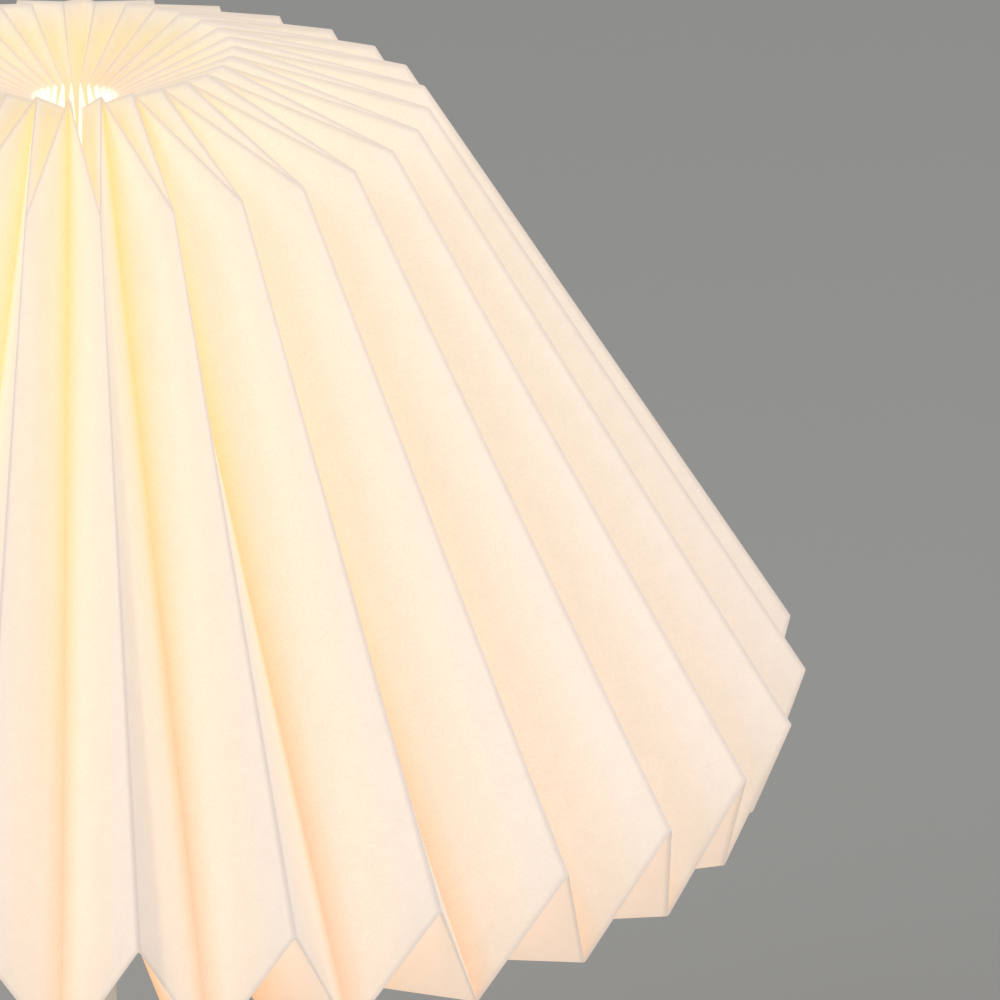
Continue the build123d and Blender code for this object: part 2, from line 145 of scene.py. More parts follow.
def folded_on(direction, crease):
    """Where a fold runs on beyond a crease: both make the same angle with it."""
    crease = crease.normalized()
    return crease * (2 * direction.dot(crease)) - direction


def fold_sections():
    """Corners of a ridge and of a valley, from the paper's top edge to its lower edge."""
    shoulder = Vector((SHOULDER_RADIUS, SHOULDER_HEIGHT))
    rim = Vector((SHADE_RADIUS, SHOULDER_HEIGHT - WALL_DROP))
    ridge_down = (rim - shoulder).normalized()
    run = beside(rim) - beside(shoulder)
    closing = asin((pleat_depth(SHOULDER_RADIUS) - pleat_depth(SHADE_RADIUS)) / run.length)
    valley_down = Matrix.Rotation(closing, 2) @ run.normalized()
    inwards = Vector((valley_down.y, -valley_down.x))
    peak = beside(shoulder) + inwards * pleat_depth(SHOULDER_RADIUS) - valley_down * TOP_CREASE_RISE
    tooth = beside(rim) + inwards * pleat_depth(SHADE_RADIUS) + valley_down * RIM_CREASE_DROP
    mountain = folded_on(-valley_down, beside(shoulder) - peak)
    trough = folded_on(-ridge_down, beside(peak) - shoulder)
    tucked_ridge = folded_on(ridge_down, beside(tooth) - rim)
    tucked_valley = folded_on(valley_down, beside(rim) - tooth)
    top_edge = shoulder + trough * (COLLAR_LENGTH + TOP_CREASE_RISE)
    # The tuck ends where its fold ends, and there a pleat is as deep as the radius allows.
    ridge_edge = rim + tucked_ridge * (RIM_CREASE_DROP + TUCK_MARGIN)
    below = Vector((-tucked_valley.y, tucked_valley.x))
    valley_edge = beside(ridge_edge) + below * pleat_depth(ridge_edge.x)
    ridge = [top_edge, shoulder, rim, ridge_edge]
    valley = [peak + mountain * COLLAR_LENGTH, peak, tooth, valley_edge]
    return ridge, valley


RIDGE, VALLEY = fold_sections()
for label, section in (("ridge", RIDGE), ("valley", VALLEY)):
    print(label, [(round(1000 * p.x, 1), round(1000 * p.y, 1)) for p in section])


# %% [markdown]
# ## Thickness of the paper
# A sheet with a real thickness has an outer and an inner face. At each corner the inner face lies a
# small step away, chosen so that both panels that meet there keep the same thickness. The steps
# come from two conditions in the fold's own plane, so they are solved as a pair of equations.

# %% Steps from the outer face to the inner face
def in_space(azimuth, point):
    """A point of a section, with its plane turned this far round the axis."""
    return Vector((point.x * sin(azimuth), -point.x * cos(azimuth), point.y))


def thickness_step(azimuth, first, second):
    """The move in the fold's plane that goes these distances along these two directions."""
    outwards = in_space(azimuth, Vector((1, 0)))
    (a_line, a_length), (b_line, b_length) = first, second
    a, b, c, d = a_line.dot(outwards), a_line.z, b_line.dot(outwards), b_line.z
    span = a * d - b * c
    return Vector(((a_length * d - b * b_length) / span, (a * b_length - a_length * c) / span))


def fold_steps(azimuth, corners, across):
    """Steps at a fold's four corners. Across leads from ridge to valley, once for each corner."""

    def face(down, sideways):
        return sideways.cross(down).normalized(), PAPER

    def square_to(line):
        return line.normalized(), 0

    roof, wall, tuck = (below - above for above, below in pairwise(corners))
    return [
        thickness_step(azimuth, face(roof, across[0]), square_to(roof)),
        thickness_step(azimuth, face(roof, across[1]), face(wall, across[1])),
        thickness_step(azimuth, face(wall, across[2]), face(tuck, across[2])),
        thickness_step(azimuth, face(tuck, across[3]), square_to(tuck)),
    ]


def thickness_steps():
    """Steps at the corners of a ridge and at those of a valley."""
    ridge = [in_space(0, point) for point in RIDGE]
    valley = [in_space(HALF_PITCH, point) for point in VALLEY]
    across = [inward - outward for outward, inward in zip(ridge, valley)]
    return (
        fold_steps(0, ridge, [*across[:3], across[2]]),
        fold_steps(HALF_PITCH, valley, across),
    )


RIDGE_STEPS, VALLEY_STEPS = thickness_steps()
# At the hole the gathered folds are pressed shut, so the true fold is their underside.
RIDGE[0] = RIDGE[0] - RIDGE_STEPS[0]
print("steps at the ridge, mm:", [tuple(round(1000 * x, 2) for x in s) for s in RIDGE_STEPS])

# %% [markdown]
# ## Profiles for Geometry Nodes
# The node tree is handed two small profile meshes, one for a ridge and one for a valley. Each runs
# down the outer face and back up the inner one. Every crease is widened by half a millimetre each
# way, because real paper bends over a small radius instead of a sharp line. Each point also stores
# how far down the flat sheet it lies, which the paper's material needs later.

# %% Distances down the flat sheet, and the profile meshes
SOFTNESS = 0.0005  # half the width of a bend
ROWS = (6, 16, 8)  # steps down the roof, the wall and the tuck
COLUMNS = 8  # across a panel
SHOULDER_LINE = COLLAR_LENGTH + TOP_CREASE_RISE
RIM_LINE = SHOULDER_LINE + hypot(SHADE_RADIUS - SHOULDER_RADIUS, WALL_DROP)
TOOTH_LINE = RIM_LINE + RIM_CREASE_DROP
SHEET_HEIGHT = TOOTH_LINE + TUCK_MARGIN
# How far down the flat sheet the corners of each section lie.
RIDGE_LINES = [0, SHOULDER_LINE, RIM_LINE, SHEET_HEIGHT]
VALLEY_LINES = [0, COLLAR_LENGTH, TOOTH_LINE, SHEET_HEIGHT]


def softened(corners, lines, rows):
    """(point, distance down the sheet) along one face: soft bends, and even steps between them."""
    made = [(corners[0], lines[0])]
    for i in range(1, len(corners)):
        crease, back, back_line = corners[i], corners[i], lines[i]
        is_crease = i < len(corners) - 1
        if is_crease:
            back = crease + (corners[i - 1] - crease).normalized() * SOFTNESS
            back_line = lines[i] - SOFTNESS
        start, start_line = made[-1]
        for step in range(1, rows[i - 1] + 1):
            way = step / rows[i - 1]
            made.append((start.lerp(back, way), start_line + (back_line - start_line) * way))
        if is_crease:
            on = crease + (corners[i + 1] - crease).normalized() * SOFTNESS
            made.append(((back + on) / 4 + crease / 2, lines[i]))
            made.append((on, lines[i] + SOFTNESS))
    return made


def profile(name, corners, steps, lines, layer=0.0, first=0):
    """A loop of points in the front's plane: down the outer face and up the inner one.

    Layer says how many thicknesses the paper lies inside the sheet, first where it begins.
    """
    outer = [c + s * layer for c, s in zip(corners, steps)][first:]
    inner = [c + s * (layer + 1) for c, s in zip(corners, steps)][first:]
    faces = [softened(face, lines[first:], ROWS[first:]) for face in (outer, inner)]
    loop = faces[0] + faces[1][::-1]
    mesh = bpy.data.meshes.new(name)
    places = [(0, -point.x, point.y) for point, _ in loop]
    mesh.from_pydata(places, [(i, (i + 1) % len(loop)) for i in range(len(loop))], [])
    stored = mesh.attributes.new("down_the_sheet", "FLOAT", "POINT")
    stored.data.foreach_set("value", [line for _, line in loop])
    return new_object(name, mesh)


sheet_profiles = (
    profile("ridge_profile", RIDGE, RIDGE_STEPS, RIDGE_LINES),
    profile("valley_profile", VALLEY, VALLEY_STEPS, VALLEY_LINES),
)
LAP_LAYER = 1 + GLUE_LINE / PAPER
lap_profiles = (
    profile("lap_ridge_profile", RIDGE, RIDGE_STEPS, RIDGE_LINES, LAP_LAYER, first=1),
    profile("lap_valley_profile", VALLEY, VALLEY_STEPS, VALLEY_LINES, LAP_LAYER, first=1),
)
print("sheet height, mm:", round(1000 * SHEET_HEIGHT, 1))


# %% [markdown]
# ## The folding tree
# The tree starts from a flat grid. Its rows follow a profile and its columns walk along the sheet:
# in every panel one column lies at the fold, one just after it, one just before the next, and the
# rest share the width between, because a panel of a tapering pleat is slightly twisted. Even folds
# are ridges and odd ones valleys, each turned half a pitch further round the axis. Folding the
# grid is then only a question of where each point goes. One more column at each end closes the
# edge.

# %% Geometry Nodes: fold a grid into pleats
TINY = 1e-5  # nearer to a fold than this, in metres or as a share of a panel, is on it
MERGED = 2e-6  # points nearer than this become one, in metres


def new_tree(name, inputs):
    """An empty tree with named inputs: {name: (socket type, default)}."""
    tree = bpy.data.node_groups.new(name, "GeometryNodeTree")
    tree.interface.new_socket("Geometry", in_out="OUTPUT", socket_type="NodeSocketGeometry")
    for label, (kind, default) in inputs.items():
        socket = tree.interface.new_socket(label, in_out="INPUT", socket_type="NodeSocket" + kind)
        if default is not None:
            socket.default_value = default
    return tree, tree.nodes.new("NodeGroupInput").outputs


def close_tree(tree, geometry, material):
    """Ends a tree: real geometry with its material, and nothing left as an instance."""
    real = add(tree, "GeometryNodeRealizeInstances", {"Geometry": geometry}).outputs[0]
    dressed = add(tree, "GeometryNodeSetMaterial", {"Geometry": real, "Material": material})
    add(tree, "NodeGroupOutput", {"Geometry": dressed.outputs[0]})
    return tree


def folding_tree():
    """A tree that folds a run of panels out of two profiles."""
    tree, given = new_tree("fold_paper", {
        "Ridge profile": ("Object", None),
        "Valley profile": ("Object", None),
        "Pleats": ("Int", PLEATS),
        "First fold": ("Int", 0),
        "Panels": ("Int", 2),
        "Columns": ("Int", COLUMNS),
        "Seam azimuth": ("Float", 0.0),
        "Panel width": ("Float", PANEL_WIDTH),
        "Edge start": ("Float", 0.0),
        "Edge end": ("Float", 1.0),
        "Softness": ("Float", SOFTNESS),
        "Edge lift": ("Float", 0.0),
        "Material": ("Material", None),
    })

    # Rows follow the profile's points; the last row comes back to the first and closes the paper.
    profiles = [
        add(tree, "GeometryNodeObjectInfo", {"Object": given[name]}).outputs["Geometry"]
        for name in ("Ridge profile", "Valley profile")
    ]
    points = add(tree, "GeometryNodeAttributeDomainSize", {"Geometry": profiles[0]}).outputs[0]
    rows = math(tree, "ADD", points, 1)

    # Beside the panels' own columns there are three: the last fold, and one more at each end.
    per_panel = given["Columns"]
    last = math(tree, "MULTIPLY", given["Panels"], per_panel)
    columns = math(tree, "ADD", last, 3)
    grid = add(tree, "GeometryNodeMeshGrid", {"Vertices X": columns, "Vertices Y": rows}).outputs[0]
    index = add(tree, "GeometryNodeInputIndex").outputs[0]
    column = math(tree, "FLOOR", math(tree, "DIVIDE", index, rows))
    in_column = math(tree, "SUBTRACT", index, math(tree, "MULTIPLY", column, rows))
    row = math(tree, "MODULO", in_column, points)

    # Where the column lies along the sheet, kept between the sheet's two edges.
    width, softness = given["Panel width"], given["Softness"]
    inner_column = clamped(tree, math(tree, "SUBTRACT", column, 1), 0, last)
    panel = math(tree, "FLOOR", math(tree, "DIVIDE", inner_column, per_panel))
    place = math(tree, "SUBTRACT", inner_column, math(tree, "MULTIPLY", panel, per_panel))
    between = math(tree, "SUBTRACT", width, math(tree, "MULTIPLY", softness, 2))
    step = math(tree, "DIVIDE", between, math(tree, "SUBTRACT", per_panel, 2))
    beyond = math(tree, "MULTIPLY_ADD", math(tree, "SUBTRACT", place, 1), step, softness)
    beyond = math(tree, "MULTIPLY", beyond, math(tree, "GREATER_THAN", place, 0.5))
    along = math(tree, "MULTIPLY_ADD", panel, width, beyond)
    along = clamped(tree, along, given["Edge start"], given["Edge end"])
    panel = math(tree, "FLOOR", math(tree, "DIVIDE", math(tree, "ADD", along, TINY), width))
    past_fold = math(tree, "SUBTRACT", along, math(tree, "MULTIPLY", panel, width))
    share = math(tree, "MAXIMUM", math(tree, "DIVIDE", past_fold, width), 0)

    # The fold before this point and the fold after it, each a point of its own profile.
    position = add(tree, "GeometryNodeInputPosition").outputs[0]
    stored = add(
        tree, "GeometryNodeInputNamedAttribute", {"Name": "down_the_sheet"}, data_type="FLOAT"
    ).outputs[0]
    fold = math(tree, "ADD", given["First fold"], panel)
    odd = math(tree, "MODULO", fold, 2)
    mirrored_row = math(tree, "SUBTRACT", math(tree, "SUBTRACT", points, 1), row)

    def sample(geometry, value, at, kind):
        found = add(
            tree, "GeometryNodeSampleIndex",
            {"Geometry": geometry, "Index": at}, data_type=kind, domain="POINT",
        )
        fill(tree, found.inputs["Value"], value)
        return found.outputs[0]

    def on_both_folds(value, at, kind):
        """The value on this point's own fold and on the next one."""
        found = [sample(geometry, value, at, kind) for geometry in profiles]
        mixed = "VECTOR" if kind == "FLOAT_VECTOR" else "FLOAT"
        return mix(tree, mixed, odd, *found), mix(tree, mixed, odd, *found[::-1])

    half_pitch = math(tree, "DIVIDE", pi, given["Pleats"])

    def turned(vector, steps):
        angle = math(tree, "MULTIPLY_ADD", steps, half_pitch, given["Seam azimuth"])
        turning = {"Vector": vector, "Angle": angle}
        return add(tree, "ShaderNodeVectorRotate", turning, rotation_type="Z_AXIS").outputs[0]

    own, other = on_both_folds(position, row, "FLOAT_VECTOR")
    own_back, other_back = on_both_folds(position, mirrored_row, "FLOAT_VECTOR")

    # At the fold itself the point is drawn a little towards its neighbours: the soft bend.
    inwards = add(tree, "ShaderNodeCombineXYZ", {
        "X": 1.0, "Y": math(tree, "COSINE", half_pitch), "Z": 1.0,
    }).outputs[0]
    squeezed = vector_math(tree, "MULTIPLY", other, inwards)
    bend = math(tree, "DIVIDE", softness, math(tree, "MULTIPLY", width, 2))
    is_fold = math(tree, "LESS_THAN", share, TINY)
    at_fold = mix(tree, "VECTOR", math(tree, "MULTIPLY", bend, is_fold), own, squeezed)

    # The edge at a seam stands a little proud: it moves outwards by a share of the thickness.
    is_outer = math(tree, "LESS_THAN", row, math(tree, "DIVIDE", points, 2))
    side = math(tree, "SUBTRACT", math(tree, "MULTIPLY", is_outer, 2), 1)
    outwards = vector_math(tree, "SUBTRACT", own, own_back)
    at_end = math(
        tree, "ADD",
        math(tree, "LESS_THAN", inner_column, 0.5),
        math(tree, "GREATER_THAN", inner_column, math(tree, "SUBTRACT", last, 0.5)),
    )
    lift = math(tree, "MULTIPLY", math(tree, "MULTIPLY", side, given["Edge lift"]), at_end)
    lifting = {0: outwards, "Scale": lift}
    lifted = add(tree, "ShaderNodeVectorMath", lifting, operation="SCALE").outputs[0]
    at_fold = vector_math(tree, "ADD", at_fold, lifted)

    # The closing columns lie in the middle of the paper's thickness.
    is_cap = math(
        tree, "ADD",
        math(tree, "LESS_THAN", column, 0.5),
        math(tree, "GREATER_THAN", column, math(tree, "SUBTRACT", columns, 1.5)),
    )
    next_fold = math(tree, "ADD", fold, 1)
    front, back = (
        mix(tree, "VECTOR", share, turned(a, fold), turned(b, next_fold))
        for a, b in ((at_fold, other), (own_back, other_back))
    )
    folded = mix(tree, "VECTOR", is_cap, front, mix(tree, "VECTOR", 0.5, front, back))
    placed = add(tree, "GeometryNodeSetPosition", {"Geometry": grid, "Position": folded}).outputs[0]

    # The flat sheet's own coordinates, in metres, become the UV map, and inner faces are marked.
    own_line, other_line = on_both_folds(stored, row, "FLOAT")
    flat = add(tree, "ShaderNodeCombineXYZ", {
        "X": math(tree, "ADD", along, math(tree, "MULTIPLY", given["First fold"], width)),
        "Y": mix(tree, "FLOAT", share, own_line, other_line),
    }).outputs[0]
    flat = add(
        tree, "GeometryNodeFieldOnDomain", {"Value": flat}, data_type="FLOAT_VECTOR", domain="POINT"
    ).outputs[0]
    is_inner = math(tree, "SUBTRACT", 1, is_outer)
    for label, value, kind, domain in (
        ("flat_sheet", flat, "FLOAT2", "CORNER"),
        ("inner_face", is_inner, "FLOAT", "POINT"),
    ):
        placed = add(
            tree, "GeometryNodeStoreNamedAttribute",
            {"Geometry": placed, "Name": label, "Value": value}, data_type=kind, domain=domain,
        ).outputs[0]
    merged = add(
        tree, "GeometryNodeMergeByDistance", {"Geometry": placed, "Distance": MERGED}
    ).outputs[0]
    flipped = add(tree, "GeometryNodeFlipFaces", {"Mesh": merged}).outputs[0]
    return close_tree(tree, flipped, given["Material"])


fold_paper = folding_tree()
print("folding tree:", len(fold_paper.nodes), "nodes")


# %% Turn a tree into a plain mesh
SHARP = radians(22)  # edges that bend more than this are shaded sharp


def grow(name, tree, **values):
    """Runs a tree once, on an empty mesh, and keeps the result as a plain mesh object."""
    seed = new_object(name + "_seed", bpy.data.meshes.new(name + "_seed"))
    modifier = seed.modifiers.new("grow", "NODES")
    modifier.node_group = tree
    identifiers = {
        item.name: item.identifier for item in tree.interface.items_tree if item.in_out == "INPUT"
    }
    for label, value in values.items():
        modifier[identifiers[label.replace("_", " ")]] = value
    bpy.context.view_layer.update()
    graph = bpy.context.evaluated_depsgraph_get()
    mesh = bpy.data.meshes.new_from_object(
        seed.evaluated_get(graph), preserve_all_data_layers=True, depsgraph=graph
    )
    bpy.data.objects.remove(seed)
    mesh.name = name
    mesh.shade_smooth()
    mesh.set_sharp_from_angle(angle=SHARP)
    print(name, len(mesh.polygons), "faces")
    return new_object(name, mesh)


def join(name, *pieces):
    """Several meshes as one piece."""
    joined = bmesh.new()
    for piece in pieces:
        joined.from_mesh(piece.data)
    joined.to_mesh(pieces[0].data)
    joined.free()
    for piece in pieces[1:]:
        bpy.data.objects.remove(piece)
    pieces[0].name = pieces[0].data.name = name
    return pieces[0]


# %% [markdown]
# ## Helpers for materials
# A material is a tree too, and it always ends in the same way: a shader into the output. The
# helpers below make the empty tree and its end, write a colour the way a colour chart does, and
# build what finishes need: a smooth run from one number or colour to another, a run through
# several colours, grain, and fine relief.

# %% Helpers for materials
def new_material(name):
    """A material with only its output left, ready for nodes."""
    material = bpy.data.materials.new(name)
    material.use_nodes = True
    tree = material.node_tree
    tree.nodes.clear()
    return material, tree


def principled(tree, **sockets):
    """Ends a material in Blender's general-purpose shader. In a socket's name _ is a space."""
    names = {name.replace("_", " "): value for name, value in sockets.items()}
    shader = add(tree, "ShaderNodeBsdfPrincipled", names).outputs[0]
    add(tree, "ShaderNodeOutputMaterial", {"Surface": shader})


def smooth_between(tree, value, low, high, from_value=0.0, to_value=1.0):
    """Runs smoothly from one number to another while value goes from low to high."""
    return add(tree, "ShaderNodeMapRange", {
        "Value": value, "From Min": low, "From Max": high, "To Min": from_value, "To Max": to_value,
    }, interpolation_type="SMOOTHSTEP").outputs[0]


def colour_mix(tree, factor, a, b):
    return mix(tree, "RGBA", factor, a, b)


def linear(code):
    """A colour written as on a colour chart, as the linear numbers that a renderer needs."""
    parts = [int(code[i:i + 2], 16) / 255 for i in (0, 2, 4)]
    return *(p / 12.92 if p <= 0.04045 else ((p + 0.055) / 1.055) ** 2.4 for p in parts), 1.0


def two_tone(tree, value, low, high, first, second):
    """The first colour where value is low, the second where it is high, blended between."""
    factor = smooth_between(tree, value, low, high)
    return colour_mix(tree, factor, linear(first), linear(second))


def run_of_colours(tree, value, *stops):
    """Colours blended along a value from 0 to 1: (place, colour code) for each stop."""
    made = add(tree, "ShaderNodeValToRGB", {0: value})
    elements = made.color_ramp.elements
    while len(elements) < len(stops):
        elements.new(0.5)
    for element, (place, code) in zip(elements, sorted(stops)):
        element.position, element.color = place, linear(code)
    return made.outputs[0]


def object_point(tree):
    return add(tree, "ShaderNodeTexCoord").outputs["Object"]


def noise(tree, point, scale, detail=3.0):
    sockets = {"Vector": point, "Scale": scale, "Detail": detail}
    return add(tree, "ShaderNodeTexNoise", sockets).outputs[0]


def relief(tree, height, strength, depth):
    """Bump of a real depth in metres."""
    sockets = {"Height": height, "Strength": strength, "Distance": depth}
    return add(tree, "ShaderNodeBump", sockets).outputs[0]


# %% [markdown]
# ## Paper that glows
# Lit from inside, thin paper passes the bulb's warm light. Here that light is painted on the paper
# as an emitted glow, on top of what falls on it. The painted glow is pale at a ridge, which is
# furthest from the bulb, and warm in a valley, where the light has passed between two walls of
# paper. It turns from yellow near the shoulder to peach near the rim. Folds read as thin greyish
# lines: partly crushed fibres, partly painted shade of the bend, in the glow and in the paper's
# own colour. A second glued layer lets less light through. All of it is worked out from the flat
# sheet's own coordinates, so the pattern belongs to the paper and not to the camera.

# %% Colours and amounts of the glow. Lengths are in metres
GLOW_STOPS = (0, 0.2, 0.45, 0.75, 0.9, 1)  # from a ridge to a valley
UPPER = ("BEB0A2", "B9AB97", "B6AA94", "B7AA8F", "BAA778", "BFA468")
LOWER = ("C1B0A2", "BCAB9C", "BAA793", "BDA894", "BC9D7E", "BE9170")
UPPER_TO_LOWER = 0.2, 0.95  # share of the wall, from shoulder to rim, where one becomes the other
ROOF_STOPS, ROOF = (0, 0.3, 0.65, 1), ("BA9C76", "B3A285", "B3A47C", "B2A799")  # from the hole out
TUCK_STOPS, TUCK = (0, 0.4, 0.7, 1), ("CAB29E", "CBB19A", "CEAA8A", "D49A66")  # from the rim in
# An edge or a line is given as how far it is full, and where it has faded out.
HOLE_EDGE, HOLE_GLOW = (0.00084, 0.00156), "F4E8CC"  # the paper's bright edge round the hole
# Painted shade of the bends: a grey line along each outward fold and crease, partly crushed fibres.
LINE, FOLD_SHADE_GREY, FOLD_SHADE_PAPER = (0.0002, 0.0016), "A9A39B", "C3B8B2"  # the dark line along a fold
FOLD_SHADE_SHARE, FOLD_SHADE_LOSS = 0.6, 0.1  # how grey that line is, and the light lost in it
DOUBLE_LOSS, LAP_BLUR = 0.2, 0.002  # light lost in the glued laps, and their soft edge
LAP_WAY, LAP_SHADE = (-0.4, 1.0), (0.3, 1.0)  # the laps show more and more towards the rim
INNER, INNER_LIGHT_HOLE, INNER_LIGHT = "FFEFD2", 0.6, 0.4  # inner faces, at the hole and below
CLOUD_GLOW = 0.975, 1.025  # uneven pulp
PAPER_TONES = "CBC3BB", "D2CAC2"


# %% Material: folded paper
def paper_material():
    material, tree = new_material("folded_paper")
    flat_sheet = add(tree, "ShaderNodeUVMap", uv_map="flat_sheet").outputs[0]
    along, down, _ = add(tree, "ShaderNodeSeparateXYZ", {0: flat_sheet}).outputs
    across = math(tree, "PINGPONG", along, PANEL_WIDTH)
    share = math(tree, "DIVIDE", across, PANEL_WIDTH)

    # Both zigzag creases are straight lines from a ridge to a valley on the flat sheet.
    shoulder_line = math(tree, "MULTIPLY_ADD", share, COLLAR_LENGTH - SHOULDER_LINE, SHOULDER_LINE)
    rim_line = math(tree, "MULTIPLY_ADD", share, RIM_CREASE_DROP, RIM_LINE)
    past_shoulder = math(tree, "SUBTRACT", down, shoulder_line)
    past_rim = math(tree, "SUBTRACT", down, rim_line)
    way = math(tree, "DIVIDE", past_shoulder, math(tree, "SUBTRACT", rim_line, shoulder_line))
    on_roof = math(tree, "LESS_THAN", past_shoulder, 0)
    on_tuck = math(tree, "GREATER_THAN", past_rim, 0)

    # Glow of the wall, the roof and the tuck.
    upper = run_of_colours(tree, share, *zip(GLOW_STOPS, UPPER))
    lower = run_of_colours(tree, share, *zip(GLOW_STOPS, LOWER))
    glow = colour_mix(tree, smooth_between(tree, way, *UPPER_TO_LOWER), upper, lower)
    roof_way = math(tree, "DIVIDE", down, shoulder_line)
    roof = run_of_colours(tree, roof_way, *zip(ROOF_STOPS, ROOF))
    hot_edge = smooth_between(tree, down, *HOLE_EDGE, 1.0, 0.0)
    roof = colour_mix(tree, hot_edge, roof, linear(HOLE_GLOW))
    glow = colour_mix(tree, on_roof, glow, roof)
    tuck_way = math(tree, "DIVIDE", past_rim, TUCK_MARGIN)
    tuck = run_of_colours(tree, tuck_way, *zip(TUCK_STOPS, TUCK))
    glow = colour_mix(tree, on_tuck, glow, tuck)

    # Folds that stick out get a grey line, partly crushed fibres and partly painted shade of the
    # bend:
    # ridges of the wall, mountains of the roof, both creases.
    from_valley = math(tree, "SUBTRACT", PANEL_WIDTH, across)
    fold = mix(tree, "FLOAT", on_roof, across, from_valley)
    crease = math(tree, "MINIMUM", *(
        math(tree, "MULTIPLY", math(tree, "ABSOLUTE", past), PANEL_WIDTH / hypot(PANEL_WIDTH, rise))
        for past, rise in ((past_shoulder, TOP_CREASE_RISE), (past_rim, RIM_CREASE_DROP))
    ))
    off_line = math(tree, "MINIMUM", fold, crease)
    fold_shade_line = smooth_between(tree, off_line, *LINE, 1.0, 0.0)
    glow = colour_mix(tree, math(tree, "MULTIPLY", fold_shade_line, FOLD_SHADE_SHARE), glow, linear(FOLD_SHADE_GREY))

    # The glued laps lie behind the two ends of the right-hand sheet.
    half_lap = GLUE_LAP / 2
    last_lap = 2 * FRONT_SHEET_PLEATS * PANEL_WIDTH - half_lap
    off_lap = math(tree, "MINIMUM", *(
        math(tree, "ABSOLUTE", math(tree, "SUBTRACT", along, middle))
        for middle in (half_lap, last_lap)
    ))
    double = smooth_between(tree, off_lap, half_lap - LAP_BLUR, half_lap + LAP_BLUR, 1.0, 0.0)
    double = math(tree, "MULTIPLY", double, smooth_between(tree, way, *LAP_WAY, *LAP_SHADE))

    # The inner face stands in the bulb's own light, and most of all round the hole: painted as
    # glow.
    inner = add(tree, "ShaderNodeAttribute", attribute_name="inner_face").outputs["Fac"]
    inner_light = smooth_between(tree, down, 0.0, SHOULDER_LINE, INNER_LIGHT_HOLE, INNER_LIGHT)
    inner_change = math(tree, "SUBTRACT", inner_light, 1)
    glow = colour_mix(tree, inner, glow, linear(INNER))

    # Fibres, and clouds in the pulp.
    point = object_point(tree)
    cloud, fibre = noise(tree, point, 260.0, 4.0), noise(tree, point, 1900.0)
    amount = smooth_between(tree, cloud, 0.3, 0.7, *CLOUD_GLOW)
    # Painted shade: the fold lines and the glued laps let less glow out, and inner faces change it.
    for mask, change in ((inner, inner_change), (double, -DOUBLE_LOSS), (fold_shade_line, -FOLD_SHADE_LOSS)):
        amount = math(tree, "MULTIPLY", amount, math(tree, "MULTIPLY_ADD", mask, change, 1.0))
    paper = two_tone(tree, fibre, 0.35, 0.65, *PAPER_TONES)
    # The fold line, partly crushed fibres and partly painted shade, also greys the paper's own
    # colour.
    paper = colour_mix(tree, fold_shade_line, paper, linear(FOLD_SHADE_PAPER))
    height = math(tree, "MULTIPLY_ADD", fibre, 0.7, math(tree, "MULTIPLY", cloud, 0.3))
    principled(
        tree, Base_Color=paper, Roughness=0.85, Emission_Color=glow, Emission_Strength=amount,
        Normal=relief(tree, height, 0.25, 0.00004), Specular_IOR_Level=0.2,
    )
    return material


paper = paper_material()
print("paper material:", len(paper.node_tree.nodes), "nodes")

# %% [markdown]
# ## Fold the two sheets
# The shade is made of two sheets. The right-hand sheet lies on top at both seams, and its edges
# stand slightly proud. The left-hand sheet runs on behind it as two glued laps.

# %% The two sheets and their laps
FRONT_SEAM = 2 * PLEATS
BACK_SEAM = 2 * FRONT_SHEET_PLEATS


def fold_sheet(name, profiles, first, panels, **extra):
    """A sheet or a lap: so many panels of folded paper, counted from this fold of the shade."""
    values = {
        "Ridge_profile": profiles[0], "Valley_profile": profiles[1], "First_fold": first,
        "Panels": panels, "Seam_azimuth": SEAM_AZIMUTH, "Edge_end": panels * PANEL_WIDTH,
        "Material": paper,
    }
    return grow(name, fold_paper, **{**values, **extra})


right_sheet = fold_sheet("paper_sheet_right", sheet_profiles, 0, BACK_SEAM, Edge_lift=SEAM_LIFT)
left_sheet = join(
    "paper_sheet_left",
    fold_sheet("left_walls", sheet_profiles, BACK_SEAM, FRONT_SEAM - BACK_SEAM),
    fold_sheet("front_lap", lap_profiles, 0, 1, Edge_start=LAP_START, Edge_end=GLUE_LAP),
    fold_sheet(
        "back_lap", lap_profiles, BACK_SEAM - 1, 1,
        Edge_start=PANEL_WIDTH - GLUE_LAP, Edge_end=PANEL_WIDTH - LAP_START,
    ),
)
for helper in (*sheet_profiles, *lap_profiles):
    bpy.data.objects.remove(helper)
for sheet, node in ((right_sheet, "shade_sheet_right"), (left_sheet, "shade_sheet_left")):
    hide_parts(node)
    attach(sheet, "shade")

# %% [markdown]
# ## Finishes for the pieces under the shade
# Every CAD piece keeps its shape and gets a finish of its own. The recipes share three ideas: the
# texture is read from the object's own coordinates in metres, so a scale of 900 gives grains about
# a millimetre apart; the roughness varies a little, because no real surface is even; and fine
# relief is drawn by bump, which changes how light leaves the surface but not the shape.

# %% Shared steps for finishes
def on_cad(slot, material):
    """Dresses every CAD piece that has this finish, and tells which pieces they are."""
    dressed = []
    for name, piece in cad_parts.items():
        for held in piece.material_slots:
            if held.material.name.split(".")[0] == slot:
                held.material = material
                dressed.append(name)
    print(slot, "->", ", ".join(dressed))


def screw_height(tree, point, pitch):
    """From 0 to 1 and back along a screw thread round the Z axis."""
    x, y, z = add(tree, "ShaderNodeSeparateXYZ", {0: point}).outputs
    turn = math(tree, "DIVIDE", math(tree, "ARCTAN2", y, x), 2 * pi)
    winding = math(tree, "SUBTRACT", math(tree, "DIVIDE", z, pitch), turn)
    return smooth_between(tree, math(tree, "PINGPONG", winding, 0.5), 0.0, 0.5)


